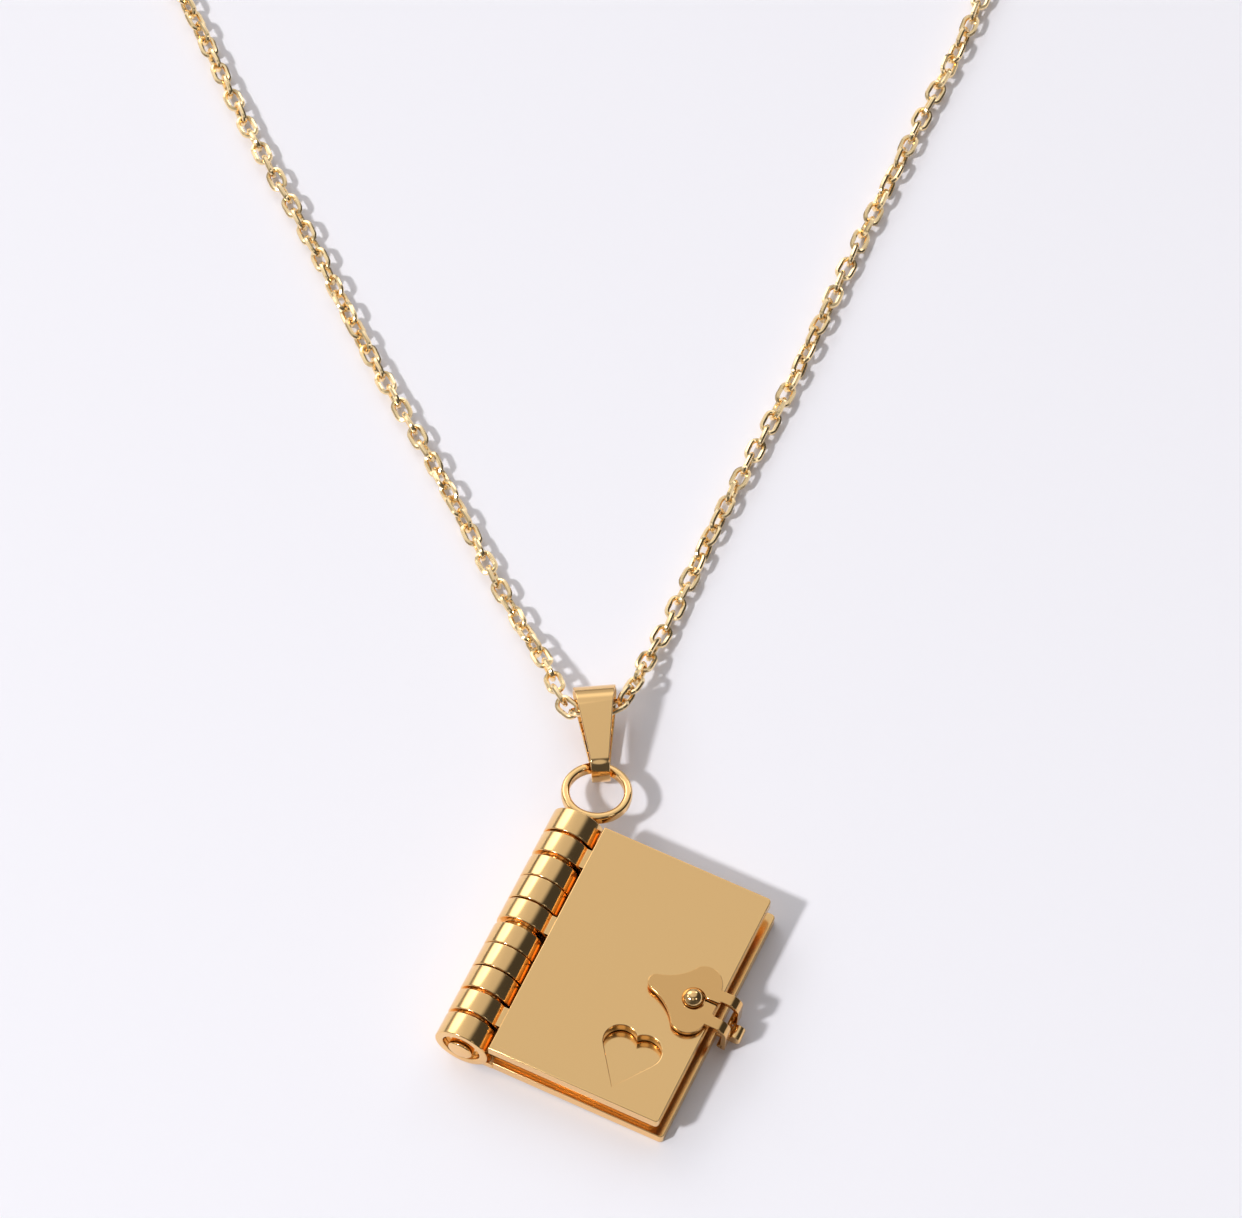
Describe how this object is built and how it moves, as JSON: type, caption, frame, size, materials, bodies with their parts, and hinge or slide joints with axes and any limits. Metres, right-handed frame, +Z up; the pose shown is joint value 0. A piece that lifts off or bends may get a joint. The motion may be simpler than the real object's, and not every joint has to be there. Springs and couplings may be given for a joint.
{
  "type": "book necklace",
  "caption": "Gold-coloured steel necklace lying flat: a small metal book with a heart cut through its cover, closed by a spade-shaped hasp, hung on a fine cable chain.",
  "frame": {"origin": "on the surface the necklace lies on, under the middle of its bounding box", "axes": "+Z up from the surface, +Y from the pendant towards the nape, +X to the wearer's left side of the loop"},
  "size_m": [0.1104, 0.2274, 0.0059],
  "materials": {
    "cover_metal": "satin gold plate",
    "leaf_metal": "polished gold plate",
    "fitting_metal": "polished gold plate",
    "chain_metal": "polished gold plate"
  },
  "bodies": {
    "necklace": {"back_cover": "cover_metal", "hinge_pin": "fitting_metal", "bail": "fitting_metal", "chain": "chain_metal", "neck_clasp": "chain_metal"},
    "front": {"front_cover": "cover_metal", "ball_stud": "fitting_metal"},
    "hasp": {"clasp_tab": "fitting_metal"},
    "leaf_1": {"page_1": "leaf_metal"},
    "leaf_2": {"page_2": "leaf_metal"}
  },
  "joints": [
    {"name": "front_cover_hinge", "type": "hinge", "parent": "necklace", "child": "front", "pos_m": [-0.0101, -0.1052, 0.00265], "axis": [-0.4258, -0.9048, 0], "range_deg": [0, 165]},
    {"name": "page_1_hinge", "type": "hinge", "parent": "necklace", "child": "leaf_1", "pos_m": [-0.0101, -0.1052, 0.00265], "axis": [-0.4258, -0.9048, 0], "range_deg": [0, 111]},
    {"name": "page_2_hinge", "type": "hinge", "parent": "necklace", "child": "leaf_2", "pos_m": [-0.0101, -0.1052, 0.00265], "axis": [-0.4258, -0.9048, 0], "range_deg": [0, 56]},
    {"name": "clasp_hinge", "type": "hinge", "parent": "front", "child": "hasp", "pos_m": [0.01429, -0.10297, 0.0014], "axis": [0.4258, 0.9048, 0], "range_deg": [0, 100]}
  ],
  "couplings": [
    {"joint": "page_1_hinge", "follows": "front_cover_hinge", "ratio": 0.6667},
    {"joint": "page_2_hinge", "follows": "front_cover_hinge", "ratio": 0.3333}
  ]
}
